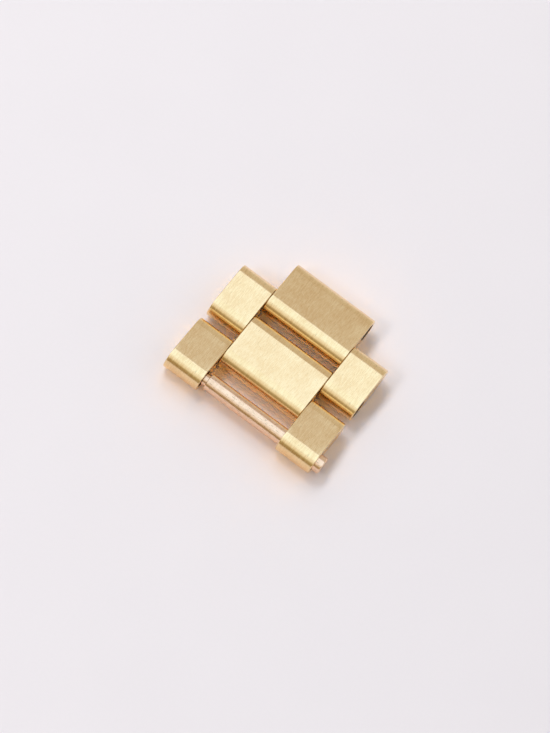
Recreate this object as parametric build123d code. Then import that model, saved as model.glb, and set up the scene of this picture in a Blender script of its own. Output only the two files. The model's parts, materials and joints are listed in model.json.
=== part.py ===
"""A short length of a three-row watch bracelet: four rows of links laid like bricks.

An outer row is a left and a right link, and a centre row is one wide link between the
rows of outer links.  Each outer pair is fixed to the centre link behind it by a pressed
pin that shows nowhere, and every pair turns on a stepped pin that pushes out to the
right.  The front stepped pin stands part way out, with no centre link on it yet.

X runs across the bracelet, +Y towards the rear row and +Z up, away from the wrist.
Sizes are in millimetres and angles in degrees.
"""

from build123d import *
import math
import os

# Across the bracelet
overall_width = 17.0
centre_width = 9.14
side_gap = 0.06

# Along the bracelet
pivot_pitch = 3.58

# Section of a link, whose round ends are centred on its pivots
thickness = 2.7
edge_chamfer = 0.07
rim_chamfer = 0.05

# Stepped pins, which push out to the right
shank_diameter = 1.76
tip_diameter = 1.24
shank_clearance = 0.04
tip_clearance = 0.03
seat_depth = 0.55
seat_clearance = 0.04
end_recess = 0.2
shank_end_radius = 0.16
pin_chamfer = 0.08
front_pin_pull = 0.96

# Fixed pins, which are pressed into blind holes in the outer links
fixed_pin_diameter = 1.76
fixed_pin_chamfer = 0.1
press_interference = 0.004
blind_hole_wall = 1.25
blind_hole_relief = 0.12

# How each row lies at rest, turned about X, the rear raised where positive
front_outer_tilt = -2.5
front_centre_tilt = 1.5
rear_outer_tilt = 2.5
rear_centre_tilt = -2.5

# Worked out from the sizes above
outer_width = (overall_width - centre_width - 2 * side_gap) / 2
outer_face = overall_width / 2
inner_face = outer_face - outer_width
centre_face = centre_width / 2
shank_bore_radius = shank_diameter / 2 + shank_clearance
tip_bore_radius = tip_diameter / 2 + tip_clearance
fixed_bore_radius = fixed_pin_diameter / 2 + shank_clearance
blind_hole_radius = fixed_pin_diameter / 2 - press_interference
blind_hole_bottom = outer_face - blind_hole_wall
front_pivot = -pivot_pitch / 2
rear_pivot = pivot_pitch / 2


def cross_cylinder(radius, left, right, along):
    """A cylinder that runs across the bracelet from left to right, at one place along it."""
    middle = (left + right) / 2
    return Pos(middle, along, 0) * Rot(0, 90, 0) * Cylinder(radius, right - left)


def link_blank(left, right):
    """One link before its holes: flat on top, round at both ends, its side edges chamfered."""
    outline = SlotCenterToCenter(pivot_pitch, thickness)
    blank = extrude(Plane.YZ * outline, right - left)
    sides = blank.faces().filter_by(Axis.X)
    blank = chamfer(sides.edges(), edge_chamfer)
    return Pos(left, 0, 0) * blank


def with_chamfered_rims(link):
    """The same link, with a small chamfer on every hole's rim in its two side faces."""
    sides = link.faces().filter_by(Plane.YZ)
    ends = sides.sort_by(Axis.X)
    rims = [wire.edges() for face in (ends[0], ends[-1]) for wire in face.inner_wires()]
    return chamfer([edge for edges in rims for edge in edges], rim_chamfer)


def outer_link_left():
    """Left outer link: a stepped hole in front for the pin's tip, a blind one behind."""
    link = link_blank(-outer_face, -inner_face)
    seat = -inner_face - seat_depth
    link -= cross_cylinder(tip_bore_radius, -outer_face, seat, front_pivot)
    link -= cross_cylinder(shank_bore_radius, seat, -inner_face, front_pivot)
    link -= cross_cylinder(blind_hole_radius, -blind_hole_bottom, -inner_face, rear_pivot)
    return with_chamfered_rims(link)


def outer_link_right():
    """Right outer link: a through hole in front for the pin's shank, a blind one behind."""
    link = link_blank(inner_face, outer_face)
    link -= cross_cylinder(shank_bore_radius, inner_face, outer_face, front_pivot)
    link -= cross_cylinder(blind_hole_radius, inner_face, blind_hole_bottom, rear_pivot)
    return with_chamfered_rims(link)


def centre_link():
    """Centre link: one bore for the fixed pin in front and one for a shank behind."""
    link = link_blank(-centre_face, centre_face)
    link -= cross_cylinder(fixed_bore_radius, -centre_face, centre_face, front_pivot)
    link -= cross_cylinder(shank_bore_radius, -centre_face, centre_face, rear_pivot)
    return with_chamfered_rims(link)


def stepped_pin():
    """Removable pin pushed home: a thick shank from the right and a thin tip on the left."""
    shank = shank_diameter / 2
    tip = tip_diameter / 2
    tip_end = end_recess - outer_face
    shoulder = seat_clearance - seat_depth - inner_face
    shank_end = outer_face - end_recess
    round_start = (shank_end - shank_end_radius, shank)
    round_end = (shank_end, shank - shank_end_radius)
    lower = Polyline(
        round_end,
        (shank_end, 0),
        (tip_end, 0),
        (tip_end, tip - pin_chamfer),
        (tip_end + pin_chamfer, tip),
        (shoulder, tip),
        (shoulder, shank - pin_chamfer),
        (shoulder + pin_chamfer, shank),
        round_start,
    )
    corner = RadiusArc(round_start, round_end, shank_end_radius)
    return revolve(make_face([*lower.edges(), corner]), Axis.X)


def fixed_pin():
    """Plain pin through the centre link, gripped by both outer links of its row."""
    end = blind_hole_bottom - blind_hole_relief
    pin = cross_cylinder(fixed_pin_diameter / 2, -end, end, 0)
    return chamfer(pin.edges().filter_by(GeomType.CIRCLE), fixed_pin_chamfer)


def pivots():
    """Where the five pivots lie, from the front one, each row turned by its own tilt."""
    tilts = (front_outer_tilt, front_centre_tilt, rear_outer_tilt, rear_centre_tilt)
    places = [(0.0, 0.0)]
    for tilt in tilts:
        along = pivot_pitch * math.cos(math.radians(tilt))
        rise = pivot_pitch * math.sin(math.radians(tilt))
        places.append((places[-1][0] + along, places[-1][1] + rise))
    return places


def at_pivot(place, tilt, shape, own_pivot=0.0):
    """The shape turned by its row's tilt, with its own pivot laid on the given place."""
    return Pos(0, place[0], place[1]) * Rot(tilt, 0, 0) * Pos(0, -own_pivot, 0) * shape


def assembly():
    """Every piece at rest, with the front pivot at zero."""
    front, second, middle, fourth, _ = pivots()
    pulled = Pos(front_pin_pull, 0, 0) * stepped_pin()
    return {
        "outer_link_front_left": at_pivot(front, front_outer_tilt, outer_link_left(), front_pivot),
        "outer_link_front_right": at_pivot(front, front_outer_tilt, outer_link_right(), front_pivot),
        "fixed_pin_front": at_pivot(second, front_outer_tilt, fixed_pin()),
        "removable_pin_front": at_pivot(front, front_outer_tilt, pulled),
        "centre_link_front": at_pivot(second, front_centre_tilt, centre_link(), front_pivot),
        "outer_link_rear_left": at_pivot(middle, rear_outer_tilt, outer_link_left(), front_pivot),
        "outer_link_rear_right": at_pivot(middle, rear_outer_tilt, outer_link_right(), front_pivot),
        "fixed_pin_rear": at_pivot(fourth, rear_outer_tilt, fixed_pin()),
        "removable_pin_middle": at_pivot(middle, rear_outer_tilt, stepped_pin()),
        "centre_link_rear": at_pivot(fourth, rear_centre_tilt, centre_link(), front_pivot),
    }


pieces = assembly()
box = Compound(list(pieces.values())).bounding_box()
to_base = (-box.center().X, -box.center().Y, -box.min.Z)

os.makedirs("parts", exist_ok=True)
for name, shape in pieces.items():
    export_step(Pos(*to_base) * shape, f"parts/{name}.step")

print("box", box.size)
for number, (along, rise) in enumerate(pivots()):
    print("pivot", number, "y", round(along + to_base[1], 5), "z", round(rise + to_base[2], 5))
print("middle of the width at x", round(to_base[0], 5))
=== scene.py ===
# %% [markdown]
# # A short length of watch bracelet
# The real thing is four rows of solid metal links, laid like bricks and joined by pins.
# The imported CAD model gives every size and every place, so this lesson starts by loading
# it. What Blender adds is what a camera would see: softened edges, brushed and polished
# metal, paper to lie on, and light.

# %% Load the CAD frame
import json
import math

import bmesh
import bpy
from mathutils import Matrix, Vector
from mathutils.geometry import tessellate_polygon


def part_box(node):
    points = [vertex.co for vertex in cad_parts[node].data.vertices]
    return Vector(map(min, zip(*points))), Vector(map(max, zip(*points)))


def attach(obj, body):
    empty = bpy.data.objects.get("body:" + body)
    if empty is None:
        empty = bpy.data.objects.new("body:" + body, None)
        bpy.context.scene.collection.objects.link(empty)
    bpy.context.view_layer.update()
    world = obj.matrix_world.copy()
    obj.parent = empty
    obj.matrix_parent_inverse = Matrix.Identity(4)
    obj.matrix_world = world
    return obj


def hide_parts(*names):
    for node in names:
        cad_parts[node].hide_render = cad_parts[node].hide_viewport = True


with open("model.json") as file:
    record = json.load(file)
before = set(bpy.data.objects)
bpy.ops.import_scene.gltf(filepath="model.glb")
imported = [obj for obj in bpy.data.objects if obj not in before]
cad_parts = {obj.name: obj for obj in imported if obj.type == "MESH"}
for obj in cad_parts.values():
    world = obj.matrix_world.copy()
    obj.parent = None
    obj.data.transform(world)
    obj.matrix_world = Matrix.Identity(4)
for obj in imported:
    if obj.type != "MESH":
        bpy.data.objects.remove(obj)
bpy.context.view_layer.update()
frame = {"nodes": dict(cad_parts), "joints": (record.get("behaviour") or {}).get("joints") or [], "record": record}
MM = 0.001
print("CAD nodes", sorted(frame["nodes"]))

# %% [markdown]
# ## Where the pivots are
# A row of links hangs between two pivots, so two neighbouring pivots say where a row lies
# and how far it is tilted. The three hinges and the two mounts of the record are those
# five pivots. Reading them is safer than typing them in again: if the CAD changes, the
# links follow.

# %% Read the five pivots
joints = {joint["name"]: joint for joint in frame["joints"]}
mounts = {mount["name"]: mount for mount in frame["record"]["mounts"]}
pivots = [
    Vector(mounts["front_link_space"]["pos_m"]),
    Vector(joints["front_centre_hinge"]["pos_m"]),
    Vector(joints["rear_outer_hinge"]["pos_m"]),
    Vector(joints["rear_centre_hinge"]["pos_m"]),
    Vector(mounts["rear_bore"]["pos_m"]),
]
pivot_pitch = (pivots[1] - pivots[0]).length
print("pivot pitch in mm", round(pivot_pitch / MM, 3))

# %% [markdown]
# ## The camera
# The picture was taken from a little to the right of the bracelet's length, from 62
# degrees above the paper, and turned by about 27 degrees. A long lens from 39 cm gives the
# weak perspective that such a close picture has. The camera's three axes are worked out
# from those angles, and its place from the spot of the picture where the middle pivot is.

# %% Set up the camera
frame_width_px = 550
frame_height_px = 733
camera_height_angle = math.radians(61.957)
camera_side_angle = math.radians(11.214)
camera_roll = math.radians(26.628)
camera_distance = 0.389
pixels_per_mm = 10.5785
middle_pivot_px = (286.53, 355.83)
sensor_mm = 36
nearest_seen = 0.01
farthest_seen = 20

to_camera = Vector((
    math.sin(camera_side_angle) * math.cos(camera_height_angle),
    -math.cos(camera_side_angle) * math.cos(camera_height_angle),
    math.sin(camera_height_angle),
))
level_right = Vector((math.cos(camera_side_angle), math.sin(camera_side_angle), 0))
level_up = to_camera.cross(level_right)
right = level_right * math.cos(camera_roll) + level_up * math.sin(camera_roll)
up = level_up * math.cos(camera_roll) - level_right * math.sin(camera_roll)
across = (middle_pivot_px[0] - frame_width_px / 2) / pixels_per_mm * MM
above = (frame_height_px / 2 - middle_pivot_px[1]) / pixels_per_mm * MM
place = pivots[2] + to_camera * camera_distance - right * across - up * above

camera_data = bpy.data.cameras.new("camera")
camera_data.sensor_width = sensor_mm
camera_data.lens = sensor_mm * (camera_distance / MM) * pixels_per_mm / frame_height_px
camera_data.clip_start = nearest_seen
camera_data.clip_end = farthest_seen
camera = bpy.data.objects.new("camera", camera_data)
bpy.context.scene.collection.objects.link(camera)
axes = Matrix((right, up, to_camera)).transposed().to_4x4()
camera.matrix_world = Matrix.Translation(place) @ axes
bpy.context.scene.camera = camera
print("camera lens in mm", round(camera_data.lens, 1))

# %% [markdown]
# ## Small helpers for node materials
# Nodes could be placed one by one, with three lines each. Four helpers keep the recipes
# short: they add a node and set its plain values, make a node group with named sockets,
# use such a group, and link two sockets. A group is a recipe that several materials
# share, each with its own amounts.

# %% Helpers for nodes
def add_node(tree, kind, settings=None, values=None):
    """Add one node, set its options, and give its unlinked sockets their values."""
    node = tree.nodes.new(kind)
    for name, value in (settings or {}).items():
        setattr(node, name, value)
    for name, value in (values or {}).items():
        node.inputs[name].default_value = value
    return node


def new_group(name, inputs, outputs):
    """Make an empty shader node group with these named sockets."""
    group = bpy.data.node_groups.new(name, "ShaderNodeTree")
    for socket, (kind, value) in inputs.items():
        made = group.interface.new_socket(name=socket, in_out="INPUT", socket_type=kind)
        if value is not None:
            made.default_value = value
    for socket, kind in outputs.items():
        group.interface.new_socket(name=socket, in_out="OUTPUT", socket_type=kind)
    entry = group.nodes.new("NodeGroupInput")
    exit_node = group.nodes.new("NodeGroupOutput")
    return group, entry, exit_node


def place_group(tree, group, values=None):
    """Use a node group in a material, with this material's own amounts."""
    node = add_node(tree, "ShaderNodeGroup", {"node_tree": group})
    for name, value in (values or {}).items():
        node.inputs[name].default_value = value
    return node


def wire(tree, start, end):
    """Link one output socket to one input socket."""
    tree.links.new(start, end)


# %% [markdown]
# ## Brushed grain
# A link's top is finished on a fine abrasive belt that runs along the bracelet. It leaves
# thousands of tiny parallel scratches, each a few hundredths of a millimetre wide and about
# a millimetre long, and between them shorter, broader strokes where the belt bit deeper.
# Noise does the same when it is squeezed across the scratches and stretched along them, so
# the group mixes a fine and a broad one, each with its own stretch.

# %% Node group for brushed grain
broad_share = 0.6


def make_grain_group():
    """Lines spaced along X, fine ones and broad ones, mixed."""
    group, entry, leave = new_group(
        "brushed_grain",
        {
            "Position": ("NodeSocketVector", None),
            "Fine Lines Per Metre": ("NodeSocketFloat", 30000.0),
            "Fine Stretch": ("NodeSocketFloat", 0.03),
            "Broad Lines Per Metre": ("NodeSocketFloat", 8000.0),
            "Broad Stretch": ("NodeSocketFloat", 0.2),
        },
        {"Lines": "NodeSocketFloat"},
    )
    sizes = {}
    for name in ("Fine", "Broad"):
        squeeze = add_node(group, "ShaderNodeCombineXYZ", values={"X": 1.0})
        wire(group, entry.outputs[name + " Stretch"], squeeze.inputs["Y"])
        wire(group, entry.outputs[name + " Stretch"], squeeze.inputs["Z"])
        stretched = add_node(group, "ShaderNodeVectorMath", {"operation": "MULTIPLY"})
        wire(group, entry.outputs["Position"], stretched.inputs[0])
        wire(group, squeeze.outputs["Vector"], stretched.inputs[1])
        noise = add_node(group, "ShaderNodeTexNoise", values={"Detail": 3.0, "Roughness": 0.6})
        wire(group, stretched.outputs["Vector"], noise.inputs["Vector"])
        wire(group, entry.outputs[name + " Lines Per Metre"], noise.inputs["Scale"])
        sizes[name] = noise.outputs["Fac"]
    share = add_node(group, "ShaderNodeMix", {"data_type": "FLOAT"}, {"Factor": broad_share})
    wire(group, sizes["Fine"], share.inputs["A"])
    wire(group, sizes["Broad"], share.inputs["B"])
    wire(group, share.outputs["Result"], leave.inputs["Lines"])
    return group


grain_group = make_grain_group()
print("group", grain_group.name)

# %% [markdown]
# ## Rubbed edges
# Where metal is handled, its edges are rubbed bright and smooth first. Each mesh below
# stores how near a point is to an edge, in a value named rubbed, because the mesh code
# knows where its edges are. The group breaks that value up with noise, so that the wear
# looks uneven, as it does on a worn bracelet.

# %% Node group for rubbed edges
def make_wear_group():
    """The value named rubbed, broken up into patches."""
    group, entry, leave = new_group(
        "rubbed_edges",
        {
            "Position": ("NodeSocketVector", None),
            "Patches Per Metre": ("NodeSocketFloat", 1600.0),
            "Amount": ("NodeSocketFloat", 0.7),
        },
        {"Mask": "NodeSocketFloat"},
    )
    near_edge = add_node(group, "ShaderNodeAttribute", {"attribute_name": "rubbed"})
    patches = add_node(group, "ShaderNodeTexNoise", values={"Detail": 4.0, "Roughness": 0.65})
    wire(group, entry.outputs["Position"], patches.inputs["Vector"])
    wire(group, entry.outputs["Patches Per Metre"], patches.inputs["Scale"])
    uneven = add_node(
        group, "ShaderNodeMapRange", values={"From Min": 0.3, "From Max": 0.7, "To Min": 0.35}
    )
    wire(group, patches.outputs["Fac"], uneven.inputs["Value"])
    broken = add_node(group, "ShaderNodeMath", {"operation": "MULTIPLY"})
    wire(group, near_edge.outputs["Fac"], broken.inputs[0])
    wire(group, uneven.outputs["Result"], broken.inputs[1])
    amount = add_node(group, "ShaderNodeMath", {"operation": "MULTIPLY", "use_clamp": True})
    wire(group, broken.outputs["Value"], amount.inputs[0])
    wire(group, entry.outputs["Amount"], amount.inputs[1])
    wire(group, amount.outputs["Value"], leave.inputs["Mask"])
    return group


wear_group = make_wear_group()
print("group", wear_group.name)

# %% [markdown]
# ## Handling marks
# Polished metal is never quite clean: it has soft cloudy patches, where fingers were, and a
# few hairline scratches. The clouds are broad noise. The scratches are thin lines where a
# distorted wave reaches its top. There are two waves, turned apart, and each is kept only
# where the clouds are in its own range, so the two sets don't weave a net.

# %% Node group for handling marks
# Each set of hairlines: its turn in degrees, the cloud value where none of it shows, and
# the one from where on all of it does
hairline_sets = (
    (24.0, 0.56, 0.64),
    (-51.0, 0.44, 0.36),
)
hairline_crest = 0.992


def make_marks_group():
    """Soft clouds, and two sets of hairlines that keep apart."""
    group, entry, leave = new_group(
        "handling_marks",
        {
            "Position": ("NodeSocketVector", None),
            "Clouds Per Metre": ("NodeSocketFloat", 500.0),
            "Scratches Per Metre": ("NodeSocketFloat", 600.0),
        },
        {"Clouds": "NodeSocketFloat", "Scratches": "NodeSocketFloat"},
    )
    clouds = add_node(group, "ShaderNodeTexNoise", values={"Detail": 3.0, "Roughness": 0.55})
    wire(group, entry.outputs["Position"], clouds.inputs["Vector"])
    wire(group, entry.outputs["Clouds Per Metre"], clouds.inputs["Scale"])
    kept = []
    for turn, none_at, all_at in hairline_sets:
        turned = add_node(group, "ShaderNodeVectorRotate", {"rotation_type": "Z_AXIS"})
        turned.inputs["Angle"].default_value = math.radians(turn)
        wire(group, entry.outputs["Position"], turned.inputs["Vector"])
        wave = add_node(
            group,
            "ShaderNodeTexWave",
            {"bands_direction": "X"},
            {"Distortion": 4.0, "Detail": 1.0, "Detail Scale": 0.5},
        )
        wire(group, turned.outputs["Vector"], wave.inputs["Vector"])
        wire(group, entry.outputs["Scratches Per Metre"], wave.inputs["Scale"])
        thin = add_node(
            group, "ShaderNodeMapRange", values={"From Min": hairline_crest, "From Max": 1.0}
        )
        wire(group, wave.outputs["Fac"], thin.inputs["Value"])
        some = add_node(
            group, "ShaderNodeMapRange", values={"From Min": none_at, "From Max": all_at}
        )
        wire(group, clouds.outputs["Fac"], some.inputs["Value"])
        here = add_node(group, "ShaderNodeMath", {"operation": "MULTIPLY"})
        wire(group, thin.outputs["Result"], here.inputs[0])
        wire(group, some.outputs["Result"], here.inputs[1])
        kept.append(here.outputs["Value"])
    both = add_node(group, "ShaderNodeMath", {"operation": "MAXIMUM"})
    wire(group, kept[0], both.inputs[0])
    wire(group, kept[1], both.inputs[1])
    wire(group, clouds.outputs["Fac"], leave.inputs["Clouds"])
    wire(group, both.outputs["Value"], leave.inputs["Scratches"])
    return group


marks_group = make_marks_group()
print("group", marks_group.name)

# %% [markdown]
# ## Dashes from rubbing
# Where one part slides or turns against another, grit leaves short dark dashes, all lying
# the same way. Noise squeezed more across than along gives long thin islands, and keeping
# only its highest parts leaves a few of them. The pins carry them along their length, from
# being pushed through, and the tops carry a few along the brushing.

# %% Node group for dashes
dash_softness = 0.06


def make_dash_group():
    """Long thin islands of noise, above a level."""
    group, entry, leave = new_group(
        "rubbing_dashes",
        {
            "Position": ("NodeSocketVector", None),
            "Dashes Per Metre": ("NodeSocketVector", (1600.0, 8000.0, 8000.0)),
            "Level": ("NodeSocketFloat", 0.6),
            "Amount": ("NodeSocketFloat", 0.5),
        },
        {"Mask": "NodeSocketFloat"},
    )
    squeezed = add_node(group, "ShaderNodeVectorMath", {"operation": "MULTIPLY"})
    wire(group, entry.outputs["Position"], squeezed.inputs[0])
    wire(group, entry.outputs["Dashes Per Metre"], squeezed.inputs[1])
    islands = add_node(
        group, "ShaderNodeTexNoise", values={"Scale": 1.0, "Detail": 2.0, "Roughness": 0.5}
    )
    wire(group, squeezed.outputs["Vector"], islands.inputs["Vector"])
    above_level = add_node(group, "ShaderNodeMath", {"operation": "SUBTRACT"})
    wire(group, islands.outputs["Fac"], above_level.inputs[0])
    wire(group, entry.outputs["Level"], above_level.inputs[1])
    soft_edge = add_node(group, "ShaderNodeMapRange", values={"From Max": dash_softness})
    wire(group, above_level.outputs["Value"], soft_edge.inputs["Value"])
    amount = add_node(group, "ShaderNodeMath", {"operation": "MULTIPLY"})
    wire(group, soft_edge.outputs["Result"], amount.inputs[0])
    wire(group, entry.outputs["Amount"], amount.inputs[1])
    wire(group, amount.outputs["Value"], leave.inputs["Mask"])
    return group


dash_group = make_dash_group()
print("group", dash_group.name)

# %% [markdown]
# ## Metal materials
# Gold is a metal through and through, so Metallic is 1 and the base colour is what it
# reflects. One function mixes every metal finish here from the four groups: two tones of
# the metal with the grain and the clouds between them, dark dashes, a roughness that rises
# in the scratches and falls on rubbed edges, and a bump from the lines and hairlines. Each
# finish calls it with its own colours and amounts, with the way that its grain lies, and
# with a tint for glancing light: white on the open finishes, and dark brown in the holes,
# where it is painted shade that dims their reflections at glancing angles.

# %% The colour of a metal
tone_range = (0.4, 0.6)
dash_darkness = 0.4


def mixed_colour(tree, share, first, second):
    """A colour between two others. Each is a plain colour or an output socket."""
    mix = add_node(tree, "ShaderNodeMix", {"data_type": "RGBA"})
    wire(tree, share, mix.inputs["Factor"])
    for socket, colour in (("A", first), ("B", second)):
        if isinstance(colour, tuple):
            mix.inputs[socket].default_value = (*colour, 1)
        else:
            wire(tree, colour, mix.inputs[socket])
    return mix.outputs["Result"]


def metal_colour(tree, effects, light, dark, edge, cloud_share):
    """Two tones with grain and clouds between them, then worn edges, then dark dashes."""
    tone = add_node(tree, "ShaderNodeMix", {"data_type": "FLOAT"}, {"Factor": cloud_share})
    wire(tree, effects["grain"].outputs["Lines"], tone.inputs["A"])
    wire(tree, effects["marks"].outputs["Clouds"], tone.inputs["B"])
    low, high = tone_range
    spread = add_node(tree, "ShaderNodeMapRange", values={"From Min": low, "From Max": high})
    wire(tree, tone.outputs["Result"], spread.inputs["Value"])
    body = mixed_colour(tree, spread.outputs["Result"], dark, light)
    worn = mixed_colour(tree, effects["wear"].outputs["Mask"], body, edge)
    dash = tuple(dash_darkness * part for part in dark)
    return mixed_colour(tree, effects["dashes"].outputs["Mask"], worn, dash)


# %% The roughness and relief of a metal
line_range = (0.3, 0.7)


def metal_roughness(tree, effects, recipe):
    """Rougher where the lines and clouds are high, and smooth on the rubbed edges."""
    low, high = line_range
    least, most = recipe["roughness"]
    rough = add_node(
        tree,
        "ShaderNodeMapRange",
        values={"From Min": low, "From Max": high, "To Min": least, "To Max": most},
    )
    wire(tree, effects["grain"].outputs["Lines"], rough.inputs["Value"])
    cloudy = add_node(
        tree, "ShaderNodeMath", {"operation": "MULTIPLY_ADD"}, {1: recipe["cloud_roughness"]}
    )
    wire(tree, effects["marks"].outputs["Clouds"], cloudy.inputs[0])
    wire(tree, rough.outputs["Result"], cloudy.inputs[2])
    smooth = add_node(
        tree, "ShaderNodeMix", {"data_type": "FLOAT"}, {"B": recipe["edge_roughness"]}
    )
    wire(tree, effects["wear"].outputs["Mask"], smooth.inputs["Factor"])
    wire(tree, cloudy.outputs["Value"], smooth.inputs["A"])
    return smooth.outputs["Result"]


def metal_relief(tree, effects, recipe):
    """A bump that is raised by the lines and cut by the hairlines."""
    height = add_node(tree, "ShaderNodeMath", {"operation": "SUBTRACT"})
    wire(tree, effects["grain"].outputs["Lines"], height.inputs[0])
    wire(tree, effects["marks"].outputs["Scratches"], height.inputs[1])
    bump = add_node(
        tree,
        "ShaderNodeBump",
        values={"Strength": recipe["bump"], "Distance": recipe["bump_depth"]},
    )
    wire(tree, height.outputs["Value"], bump.inputs["Height"])
    return bump.outputs["Normal"]


# %% One recipe for the metal finishes
def metal(name, light, dark, edge, recipe):
    """A metal with grain, clouds, hairlines and rubbed edges, in this finish's amounts."""
    material = bpy.data.materials.new(name)
    material.use_nodes = True
    tree = material.node_tree
    shader = tree.nodes["Principled BSDF"]
    shader.inputs["Metallic"].default_value = 1.0
    shader.inputs["Anisotropic"].default_value = recipe["anisotropy"]
    shader.inputs["Anisotropic Rotation"].default_value = recipe["turn"]
    shader.inputs["Specular Tint"].default_value = (*recipe["glancing"], 1)
    wrapped = add_node(tree, "ShaderNodeTangent", {"direction_type": "RADIAL", "axis": "X"})
    wire(tree, wrapped.outputs["Tangent"], shader.inputs["Tangent"])

    where = add_node(tree, "ShaderNodeTexCoord").outputs["Object"]
    laid = add_node(tree, "ShaderNodeMapping", values={"Rotation": recipe["lay"]})
    wire(tree, where, laid.inputs["Vector"])
    groups = {"grain": grain_group, "wear": wear_group, "marks": marks_group, "dashes": dash_group}
    effects = {}
    for effect, group in groups.items():
        node = place_group(tree, group, recipe[effect])
        position = laid.outputs["Vector"] if effect == "grain" else where
        wire(tree, position, node.inputs["Position"])
        effects[effect] = node

    colour = metal_colour(tree, effects, light, dark, edge, recipe["cloud_share"])
    wire(tree, colour, shader.inputs["Base Color"])
    wire(tree, metal_roughness(tree, effects, recipe), shader.inputs["Roughness"])
    wire(tree, metal_relief(tree, effects, recipe), shader.inputs["Normal"])
    print("finish", material.name, "with", len(tree.nodes), "nodes")
    return material


# %% [markdown]
# ## Four finishes
# The tops and rounded ends of the links are brushed along the bracelet, so their
# reflections stretch across it. The side faces are brushed the same way, but less finely,
# and there the lines lie one above another instead of side by side. The insides of the
# holes are coloured dark brown and reflect little at glancing angles: this is painted
# shade, standing in for the shade deep in a narrow hole. The pins are pinker and polished,
# with faint rings from turning and marks from being pushed through.

# %% Brushed tops
white = (1.0, 1.0, 1.0)
across_x = (0.0, 0.0, 0.0)
brushed_gold = metal(
    "brushed_yellow_gold",
    light=(0.93, 0.695, 0.39),
    dark=(0.81, 0.545, 0.27),
    edge=(0.96, 0.74, 0.43),
    recipe={
        "anisotropy": 0.7,
        "turn": 0.25,
        "glancing": white,
        "lay": across_x,
        "grain": {"Fine Stretch": 0.03},
        "wear": {"Amount": 0.7},
        "marks": {"Clouds Per Metre": 450.0},
        "cloud_share": 0.32,
        "dashes": {"Dashes Per Metre": (9000.0, 1500.0, 1500.0), "Level": 0.66, "Amount": 0.25},
        "roughness": (0.18, 0.25),
        "cloud_roughness": 0.02,
        "edge_roughness": 0.16,
        "bump": 0.25,
        "bump_depth": 0.000004,
    },
)

# %% Cut sides
across_z = (0.0, math.pi / 2, 0.0)
side_gold = metal(
    "cut_side_gold",
    light=(0.89, 0.64, 0.34),
    dark=(0.81, 0.56, 0.285),
    edge=(0.96, 0.74, 0.43),
    recipe={
        "anisotropy": 0.0,
        "turn": 0.0,
        "glancing": white,
        "lay": across_z,
        "grain": {"Fine Lines Per Metre": 24000.0, "Fine Stretch": 0.05},
        "wear": {"Amount": 0.8},
        "marks": {"Clouds Per Metre": 700.0},
        "cloud_share": 0.4,
        "dashes": {"Dashes Per Metre": (3000.0, 1500.0, 9000.0), "Level": 0.66, "Amount": 0.3},
        "roughness": (0.24, 0.36),
        "cloud_roughness": 0.06,
        "edge_roughness": 0.2,
        "bump": 0.2,
        "bump_depth": 0.000004,
    },
)

# %% Holes, with painted shade
# The dark brown colours and the dark glancing tint are painted shade for the inside of the holes
bore_painted_shade = metal(
    "bore_with_painted_shade",
    light=(0.16, 0.09, 0.045),
    dark=(0.07, 0.035, 0.018),
    edge=(0.16, 0.09, 0.045),
    recipe={
        "anisotropy": 0.0,
        "turn": 0.0,
        "glancing": (0.30, 0.18, 0.09),
        "lay": across_x,
        "grain": {"Fine Lines Per Metre": 16000.0, "Fine Stretch": 0.1},
        "wear": {"Amount": 0.0},
        "marks": {"Clouds Per Metre": 900.0},
        "cloud_share": 0.5,
        "dashes": {"Dashes Per Metre": (6000.0, 2000.0, 2000.0), "Level": 0.6, "Amount": 0.5},
        "roughness": (0.28, 0.40),
        "cloud_roughness": 0.1,
        "edge_roughness": 0.3,
        "bump": 0.3,
        "bump_depth": 0.000006,
    },
)

# %% Polished pins
pin_gold = metal(
    "polished_rose_gold",
    light=(0.91, 0.625, 0.425),
    dark=(0.80, 0.525, 0.34),
    edge=(0.94, 0.69, 0.49),
    recipe={
        "anisotropy": 0.3,
        "turn": 0.25,
        "glancing": white,
        "lay": across_x,
        "grain": {
            "Fine Lines Per Metre": 14000.0,
            "Fine Stretch": 0.02,
            "Broad Lines Per Metre": 3000.0,
            "Broad Stretch": 0.3,
        },
        "wear": {"Amount": 0.6},
        "marks": {"Clouds Per Metre": 900.0, "Scratches Per Metre": 1000.0},
        "cloud_share": 0.5,
        "dashes": {"Dashes Per Metre": (2600.0, 12000.0, 12000.0), "Level": 0.6, "Amount": 0.45},
        "roughness": (0.14, 0.24),
        "cloud_roughness": 0.05,
        "edge_roughness": 0.12,
        "bump": 0.25,
        "bump_depth": 0.000005,
    },
)

# %% [markdown]
# ## Rings and skins
# A link is the same outline all the way across, and a pin is round all along, so both can
# be built from rings of points, one behind another, with faces between them. A Boolean
# would also cut the holes, but it leaves ragged faces round their rims. Here every ring is
# placed by a size, so the small roundings come out clean and even.

# %% Helpers for meshes
circle_steps = 64
flat_face_weight = 80


def add_ring(mesh, points, x, rubbed):
    """Points in the plane at this x, all with the same value for how rubbed they are."""
    layer = mesh.verts.layers.float["rubbed"]
    ring = []
    for y, z in points:
        vertex = mesh.verts.new((x, y, z))
        vertex[layer] = rubbed
        ring.append(vertex)
    return ring


def add_skin(mesh, rings, finish):
    """Faces between each ring and the next, all with one of the object's finishes."""
    for first, second in zip(rings, rings[1:]):
        count = len(first)
        for step in range(count):
            after = (step + 1) % count
            corners = (first[step], first[after], second[after], second[step])
            mesh.faces.new(corners).material_index = finish


def circle(radius, centre_y):
    """Points of a circle, in y and z."""
    turns = [2 * math.pi * step / circle_steps for step in range(circle_steps)]
    return [(centre_y + radius * math.cos(turn), radius * math.sin(turn)) for turn in turns]


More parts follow.
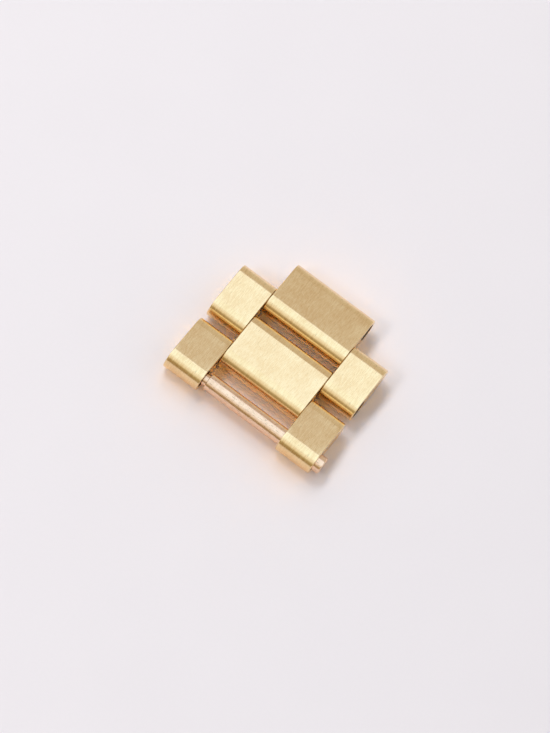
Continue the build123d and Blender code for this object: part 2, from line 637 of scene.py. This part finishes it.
def finished_object(name, mesh, finishes):
    """Turn the mesh into a smooth shaded object with these materials."""
    bmesh.ops.recalc_face_normals(mesh, faces=mesh.faces)
    data = bpy.data.meshes.new(name)
    mesh.to_mesh(data)
    mesh.free()
    data.shade_smooth()
    for finish in finishes:
        data.materials.append(finish)
    made = bpy.data.objects.new(name, data)
    bpy.context.scene.collection.objects.link(made)
    weighted = made.modifiers.new("flat faces stay flat", "WEIGHTED_NORMAL")
    weighted.keep_sharp = True
    weighted.weight = flat_face_weight
    return made


# %% [markdown]
# ## The outline of a link
# From the side, a link is a slot: flat on top and underneath, with a half circle about each
# pivot, so that it can turn on its pins with the same small gap to the next link. Drawing
# the outline in by a small distance gives the rings of the softened edge, where it turns
# into the flat side face.

# %% Sizes and outline of a link
thickness = 2.7 * MM
edge_radius = 0.08 * MM
end_steps = 48
round_steps = 6


def link_outline(inset):
    """The outline in y and z, drawn in by a distance."""
    radius = thickness / 2 - inset
    points = []
    for end in (1, -1):
        for step in range(end_steps + 1):
            turn = math.pi * (step / end_steps - 0.5)
            along = pivot_pitch / 2 + radius * math.cos(turn)
            points.append((end * along, end * radius * math.sin(turn)))
    return points


print("link length in mm", round((pivot_pitch + thickness) / MM, 2))

# %% [markdown]
# ## Holes
# The holes run across the link. A hole is a list of places across it, each with a radius:
# two different radii at one place make a step, and a list that ends inside the link makes
# a blind hole. The rims are softened with a quarter circle, as they are after polishing.

# %% Sizes and profiles of the holes
shank_bore_radius = 0.92 * MM
tip_bore_radius = 0.65 * MM
blind_hole_radius = 0.876 * MM
seat_depth = 0.55 * MM
blind_hole_wall = 1.25 * MM
rim_radius = 0.05 * MM
rim_steps = 4
rim_rubbed = 0.9
plain_from = 3 * rim_radius
bright_steps = 1


def rim(face_x, inward, radius):
    """Places and radii of a softened rim, from the side face into the hole."""
    places = []
    for step in range(rim_steps + 1):
        turn = math.pi / 2 * step / rim_steps
        depth = rim_radius * (1 - math.cos(turn))
        wider = rim_radius * (1 - math.sin(turn))
        places.append((face_x + inward * depth, radius + wider, rim_rubbed))
    places.append((face_x + inward * plain_from, radius, 0.0))
    return places


def through_hole(left, right_face, left_radius, right_radius, step_x=None):
    """A hole from face to face, with a step in it where the radii differ."""
    places = rim(left, 1, left_radius)
    if step_x is not None:
        places += [(step_x, left_radius, 0.0), (step_x, right_radius, 0.0)]
    return places + rim(right_face, -1, right_radius)[::-1]


def blind_hole(face_x, inward, bottom_x, radius):
    """A hole from one face to a flat bottom."""
    return rim(face_x, inward, radius) + [(bottom_x, radius, 0.0), (bottom_x, 0.0, 0.0)]


# %% [markdown]
# ## Building a link
# The wrapped part, brushed, runs over the top, the ends and the underside. Each side face
# is the area between the outline and the holes that open in it, cut into triangles. The
# holes are lined with rings. All of it is one closed skin, as a solid link has.

# %% Build one link
# How far in from the softened edge each ring of the wrap lies, in mm, and how rubbed it is
fading_rings = ((0.06, 0.5), (0.16, 0.18), (0.36, 0.0))
side_border = 0.05 * MM
side_rubbed = 0.3
brushed_part, side_part, bore_part = 0, 1, 2


def close_hole(mesh, ring, x, centre_y, finish):
    """Close the bottom of a blind hole or the end of a pin with a fan of faces."""
    middle = mesh.verts.new((x, centre_y, 0))
    count = len(ring)
    for step in range(count):
        mesh.faces.new((ring[step], ring[(step + 1) % count], middle)).material_index = finish


def build_link(name, width, holes):
    """A link about its own middle. Each hole is (centre_y, profile, faces it opens in)."""
    mesh = bmesh.new()
    mesh.verts.layers.float.new("rubbed")
    half = width / 2
    wrapped = []
    for side in (-1, 1):
        rings = []
        for step in range(round_steps + 1):
            turn = math.pi / 2 * step / round_steps
            inset = edge_radius * (1 - math.sin(turn))
            x = side * (half - edge_radius * (1 - math.cos(turn)))
            rings.append(add_ring(mesh, link_outline(inset), x, 1.0))
        for distance, rubbed in fading_rings:
            x = side * (half - edge_radius - distance * MM)
            rings.append(add_ring(mesh, link_outline(0), x, rubbed))
        wrapped.append(rings)
    add_skin(mesh, wrapped[0] + wrapped[1][::-1], brushed_part)

    openings = {-1: [], 1: []}
    for centre_y, profile, opens in holes:
        rings = []
        for x, radius, rubbed in profile:
            if radius > 0:
                rings.append(add_ring(mesh, circle(radius, centre_y), x, rubbed))
        openings[opens[0]].append(rings[0])
        add_skin(mesh, rings[:bright_steps + 1], side_part)
        if len(opens) == 2:
            openings[opens[1]].append(rings[-1])
            add_skin(mesh, rings[-bright_steps - 1:], side_part)
            add_skin(mesh, rings[bright_steps:-bright_steps], bore_part)
        else:
            add_skin(mesh, rings[bright_steps:], bore_part)
            close_hole(mesh, rings[-1], profile[-1][0], centre_y, bore_part)

    for side, rings in ((-1, wrapped[0]), (1, wrapped[1])):
        inner = link_outline(edge_radius + side_border)
        drawn_in = add_ring(mesh, inner, side * half, side_rubbed)
        add_skin(mesh, [rings[0], drawn_in], side_part)
        borders = [drawn_in] + openings[side]
        corners = [vertex for border in borders for vertex in border]
        places = [[vertex.co for vertex in border] for border in borders]
        for triangle in tessellate_polygon(places):
            face = mesh.faces.new([corners[index] for index in triangle])
            face.material_index = side_part
    return finished_object(name, mesh, [brushed_gold, side_gold, bore_painted_shade])


# %% [markdown]
# ## Laying out the rows
# Outer links come in pairs, left and right, and centre links one by one. In front of each
# outer link is the hole that the stepped pin goes through, and behind it a blind hole for
# the pressed pin. The row's two pivots give its middle and its tilt.

# %% Make the six links
front_y = -pivot_pitch / 2
rear_y = pivot_pitch / 2


def outer_left_holes(width):
    """A stepped hole from face to face in front, and a blind one behind."""
    half = width / 2
    stepped = through_hole(-half, half, tip_bore_radius, shank_bore_radius, half - seat_depth)
    blind = blind_hole(half, -1, blind_hole_wall - half, blind_hole_radius)
    return [(front_y, stepped, (-1, 1)), (rear_y, blind, (1,))]


def outer_right_holes(width):
    """A plain hole from face to face in front, and a blind one behind."""
    half = width / 2
    plain = through_hole(-half, half, shank_bore_radius, shank_bore_radius)
    blind = blind_hole(-half, 1, half - blind_hole_wall, blind_hole_radius)
    return [(front_y, plain, (-1, 1)), (rear_y, blind, (-1,))]


def centre_holes(width):
    """The same bore from face to face at both pivots."""
    half = width / 2
    bore = through_hole(-half, half, shank_bore_radius, shank_bore_radius)
    return [(front_y, bore, (-1, 1)), (rear_y, bore, (-1, 1))]


# Each link: the pivot at its front, the body that it rides on, and its holes
link_rows = {
    "outer_link_front_left": (0, "front_outer_pair", outer_left_holes),
    "outer_link_front_right": (0, "front_outer_pair", outer_right_holes),
    "centre_link_front": (1, "front_centre", centre_holes),
    "outer_link_rear_left": (2, "rear_outer_pair", outer_left_holes),
    "outer_link_rear_right": (2, "rear_outer_pair", outer_right_holes),
    "centre_link_rear": (3, "rear_centre", centre_holes),
}
for node, (row, body, holes_of) in link_rows.items():
    low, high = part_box(node)
    width = high.x - low.x
    start, end = pivots[row], pivots[row + 1]
    link = build_link(node + "_finished", width, holes_of(width))
    link.location = ((low.x + high.x) / 2, (start.y + end.y) / 2, (start.z + end.z) / 2)
    link.rotation_euler = (math.atan2(end.z - start.z, end.y - start.y), 0, 0)
    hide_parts(node)
    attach(link, body)
    print(link.name, "width", round(width / MM, 2), "faces", len(link.data.polygons))

# %% [markdown]
# ## The pins
# A pin is turned on a lathe, so it is a list of places and radii spun round its axis. The
# two that push out are stepped: a thick shank and, on the left, a thin tip that enters the
# last hole. The two pressed pins are plain rods, and nothing of them shows from outside.

# %% Make the four pins
shank_radius = 0.88 * MM
tip_radius = 0.62 * MM
tip_length = 3.16 * MM
small_round = 0.08 * MM
end_round = 0.16 * MM
pressed_round = 0.1 * MM
# A ring this close to the shoulder keeps its root sharp in the smooth shading
holding_gap = 0.01 * MM
round_corner_steps = 6
corner_rubbed = 0.9
shoulder_rubbed = 0.8
rod_rubbed = 0.1
pin_part = 0


def turned_corner(x, radius, outward, size):
    """A rounded corner, from the end face round to the side of the rod."""
    places = []
    for step in range(round_corner_steps + 1):
        turn = math.pi / 2 * step / round_corner_steps
        places.append((
            x - outward * size * (1 - math.sin(turn)),
            radius - size * (1 - math.cos(turn)),
        ))
    return places


def build_pin(name, profile):
    """Spin a list of places and radii round the pin's axis, and close both ends."""
    mesh = bmesh.new()
    mesh.verts.layers.float.new("rubbed")
    rings = [add_ring(mesh, circle(radius, 0), x, rubbed) for x, radius, rubbed in profile]
    add_skin(mesh, rings, pin_part)
    close_hole(mesh, rings[0], profile[0][0], 0, pin_part)
    close_hole(mesh, rings[-1], profile[-1][0], 0, pin_part)
    return finished_object(name, mesh, [pin_gold])


def rod_end(x, radius, outward, size):
    """The end face's edge and its rounding, ready to run on along the rod."""
    corner = [(at, r, corner_rubbed) for at, r in turned_corner(x, radius, outward, size)]
    corner.reverse()
    face = (x, radius - 2 * size, rod_rubbed)
    side = (x - outward * 3 * size, radius, rod_rubbed)
    return [face] + corner + [side]


def stepped_profile(length):
    """Tip end on the left, shoulder, then the shank up to its rounded right end."""
    left = -length / 2
    shoulder = left + tip_length
    tip = rod_end(left, tip_radius, -1, small_round)
    root = [(shoulder - holding_gap, tip_radius, 0.0), (shoulder, tip_radius, 0.0)]
    corner = turned_corner(shoulder, shank_radius, -1, small_round)
    step = [(at, r, shoulder_rubbed) for at, r in corner]
    step.reverse()
    shank = [(shoulder + 4 * small_round, shank_radius, rod_rubbed)]
    end = rod_end(length / 2, shank_radius, 1, end_round)
    return tip + root + step + shank + end[::-1]


def plain_profile(length):
    """A plain rod, rounded alike at both ends."""
    left = rod_end(-length / 2, shank_radius, -1, pressed_round)
    right_end = rod_end(length / 2, shank_radius, 1, pressed_round)
    return left + right_end[::-1]


# Each pin: the body that it rides on, and its profile
pin_rows = {
    "removable_pin_front": ("front_pin", stepped_profile),
    "removable_pin_middle": ("middle_pin", stepped_profile),
    "fixed_pin_front": ("front_outer_pair", plain_profile),
    "fixed_pin_rear": ("rear_outer_pair", plain_profile),
}
for node, (body, profile_of) in pin_rows.items():
    low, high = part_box(node)
    pin = build_pin(node + "_finished", profile_of(high.x - low.x))
    pin.location = (low + high) / 2
    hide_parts(node)
    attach(pin, body)
    print(pin.name, "length", round((high.x - low.x) / MM, 2))

# %% [markdown]
# ## The paper
# The bracelet lies on smooth pale paper with a faint lilac cast. Paper is fibres pressed
# flat, so its colour is almost even, with tiny flecks and a very shallow relief.

# %% Paper floor
paper_dark = (0.783, 0.748, 0.776)
paper_light = (0.822, 0.787, 0.815)
paper_size = 3.0
paper_squares = 8


def make_paper():
    """Pale paper, with fibres and faint clouds."""
    material = bpy.data.materials.new("pale_paper")
    material.use_nodes = True
    tree = material.node_tree
    shader = tree.nodes["Principled BSDF"]
    shader.inputs["Specular IOR Level"].default_value = 0.2
    where = add_node(tree, "ShaderNodeTexCoord").outputs["Object"]
    fibres = add_node(
        tree, "ShaderNodeTexNoise", values={"Scale": 3000.0, "Detail": 4.0, "Roughness": 0.6}
    )
    clouds = add_node(tree, "ShaderNodeTexNoise", values={"Scale": 90.0, "Detail": 2.0})
    wire(tree, where, fibres.inputs["Vector"])
    wire(tree, where, clouds.inputs["Vector"])
    both = add_node(tree, "ShaderNodeMix", {"data_type": "FLOAT"}, {"Factor": 0.5})
    wire(tree, fibres.outputs["Fac"], both.inputs["A"])
    wire(tree, clouds.outputs["Fac"], both.inputs["B"])
    tone = mixed_colour(tree, both.outputs["Result"], paper_dark, paper_light)
    wire(tree, tone, shader.inputs["Base Color"])
    rough = add_node(tree, "ShaderNodeMapRange", values={"To Min": 0.75, "To Max": 0.95})
    wire(tree, fibres.outputs["Fac"], rough.inputs["Value"])
    wire(tree, rough.outputs["Result"], shader.inputs["Roughness"])
    bump = add_node(tree, "ShaderNodeBump", values={"Strength": 0.15, "Distance": 0.00002})
    wire(tree, fibres.outputs["Fac"], bump.inputs["Height"])
    wire(tree, bump.outputs["Normal"], shader.inputs["Normal"])
    return material


mesh = bmesh.new()
bmesh.ops.create_grid(
    mesh, x_segments=paper_squares, y_segments=paper_squares, size=paper_size / 2
)
paper_data = bpy.data.meshes.new("paper")
mesh.to_mesh(paper_data)
mesh.free()
paper_data.materials.append(make_paper())
paper = bpy.data.objects.new("paper", paper_data)
bpy.context.scene.collection.objects.link(paper)
print("paper size in m", paper_size)

# %% [markdown]
# ## Light for metal
# Metal shows what is round it more than its own colour. In the picture the tops of the two
# rows that lean one way look cream and those of the two that lean the other way look tan,
# a few degrees apart, so the edge of a bright ceiling lies right between them. The world
# is that room, drawn with a colour ramp over the angle from rear to front: a bright bluish
# panel overhead, a dimmer grey wall behind, and brown dusk beyond the panel's front edge.
#
# Paper takes its light from the whole room, so a second ramp sets how much comes from each
# side: most of it from behind. In the gaps the paper is brown, because light gets in only
# after it has met the gold. Such a path is a glossy ray after a diffuse one, and the
# room is bright and golden for it, but only straight ahead, as the links' ends mirror it.
# A ray that the renderer aims at the room by itself counts as none of these kinds, so the
# room isn't aimed at: only rays that find it on their own bring its light.

# %% Bands of the room
# Each band is an angle in degrees, from -90 behind to 90 in front, and the light there
mirrored_bands = [
    (-90, (0.71, 0.73, 0.71)),
    (-70, (0.67, 0.65, 0.60)),
    (-45, (0.64, 0.61, 0.555)),
    (-31, (0.64, 0.60, 0.545)),
    (-27.5, (1.31, 1.63, 2.14)),
    (-24.5, (1.17, 1.40, 1.71)),
    (-21, (1.11, 1.34, 1.58)),
    (24, (1.15, 1.41, 1.67)),
    (29, (1.08, 1.26, 1.42)),
    (36, (1.00, 1.11, 1.19)),
    (46, (0.96, 1.00, 1.01)),
    (55, (0.88, 0.88, 0.80)),
    (62, (0.53, 0.48, 0.33)),
    (71, (0.42, 0.35, 0.21)),
    (90, (0.38, 0.31, 0.18)),
]
paper_bands = [
    (-28, (1.01, 1.01, 1.01)),
    (-26, (0.32, 0.32, 0.32)),
]
black = (0.0, 0.0, 0.0)
golden_bounce = (1.0, 0.70, 0.14)
bounce_strength = 7.2
bounce_width = 0.35
print("room bands", len(mirrored_bands), len(paper_bands))

# %% Helpers for the room
half_turn = 180


def math_node(tree, operation, first, second):
    """One Math node. Its first input is a socket, its second a socket or a plain number."""
    node = add_node(tree, "ShaderNodeMath", {"operation": operation})
    wire(tree, first, node.inputs[0])
    if isinstance(second, float):
        node.inputs[1].default_value = second
    elif second is not None:
        wire(tree, second, node.inputs[1])
    return node.outputs["Value"]


def ramp_over_angle(tree, share, bands):
    """A colour ramp with a stop at each angle, from -90 behind to 90 in front."""
    ramp = add_node(tree, "ShaderNodeValToRGB")
    wire(tree, share, ramp.inputs["Fac"])
    stops = ramp.color_ramp.elements
    # A new stop gets its own position below
    while len(stops) < len(bands):
        stops.new(0.5)
    for stop, (degrees, colour) in zip(stops, bands):
        stop.position = (degrees + half_turn / 2) / half_turn
        stop.color = (*colour, 1)
    return ramp.outputs["Color"]


def share_of_angle(tree, parts):
    """How far the ray points from the rear (0) over the top (0.5) to the front (1)."""
    to_front = math_node(tree, "MULTIPLY", parts.outputs["Y"], -1.0)
    angle = math_node(tree, "ARCTAN2", to_front, parts.outputs["Z"])
    share = add_node(
        tree,
        "ShaderNodeMapRange",
        values={"From Min": -math.pi / 2, "From Max": math.pi / 2},
    )
    wire(tree, angle, share.inputs["Value"])
    return share.outputs["Result"]


# %% The room round the bracelet
def make_room():
    """One ramp for metal, one for paper, and golden light for the gaps."""
    world = bpy.data.worlds.new("studio")
    bpy.context.scene.world = world
    world.use_nodes = True
    world.cycles.sampling_method = "NONE"
    tree = world.node_tree
    background = tree.nodes["Background"]
    parts = add_node(tree, "ShaderNodeSeparateXYZ")
    where = add_node(tree, "ShaderNodeTexCoord").outputs["Generated"]
    wire(tree, where, parts.inputs["Vector"])
    share = share_of_angle(tree, parts)
    light_path = add_node(tree, "ShaderNodeLightPath")
    on_paper = mixed_colour(
        tree,
        light_path.outputs["Is Diffuse Ray"],
        ramp_over_angle(tree, share, mirrored_bands),
        ramp_over_angle(tree, share, paper_bands),
    )

    after_paper = math_node(tree, "MINIMUM", light_path.outputs["Diffuse Depth"], 1.0)
    bounced = math_node(tree, "MULTIPLY", after_paper, light_path.outputs["Is Glossy Ray"])
    aside = math_node(tree, "ABSOLUTE", parts.outputs["X"], None)
    ahead = math_node(tree, "LESS_THAN", aside, bounce_width)
    golden = mixed_colour(tree, ahead, black, golden_bounce)
    seen = mixed_colour(tree, bounced, on_paper, golden)
    wire(tree, seen, background.inputs["Color"])
    strength = add_node(
        tree, "ShaderNodeMapRange", values={"To Min": 1.0, "To Max": bounce_strength}
    )
    wire(tree, bounced, strength.inputs["Value"])
    wire(tree, strength.outputs["Result"], background.inputs["Strength"])
    return world


room = make_room()
print("room", room.name)

# %% [markdown]
# ## Light for the shadow
# The shadows fall to the right, reach about half the links' height and have a fairly sharp
# edge, but to the front they fade slowly. So the light on the paper is a strip on the left,
# narrow across and long from front to rear, like a tall window seen end on. It has four
# panes, because the picture's gaps show that one of them is dim, as behind a curtain. The
# lamps aren't seen in the metal: their work is the paper, and the room does the reflections.

# %% The lamps
lamp_lean = math.radians(27)
lamp_distance = 0.55
lamp_width = 0.12
watts_per_metre = 6.67
# Each pane: its name, where it starts and ends towards the rear in metres, its brightness
panes = [
    ("front_pane", -0.60, -0.35, 0.785),
    ("dim_pane", -0.35, 0.0, 0.193),
    ("middle_pane", 0.0, 0.15, 0.748),
    ("rear_pane", 0.15, 0.50, 0.29),
]
for name, start, end, brightness in panes:
    lamp_data = bpy.data.lights.new(name, "AREA")
    lamp_data.shape = "RECTANGLE"
    lamp_data.size = lamp_width
    lamp_data.size_y = end - start
    lamp_data.energy = brightness * watts_per_metre * (end - start)
    lamp = bpy.data.objects.new(name, lamp_data)
    bpy.context.scene.collection.objects.link(lamp)
    lamp.location = (
        -lamp_distance * math.sin(lamp_lean),
        (start + end) / 2,
        lamp_distance * math.cos(lamp_lean),
    )
    lamp.rotation_euler = (0, -lamp_lean, 0)
    lamp.visible_glossy = False
    lamp.visible_camera = False
    print(name, "watts", round(lamp_data.energy, 2))
bpy.context.scene.view_settings.view_transform = "Standard"
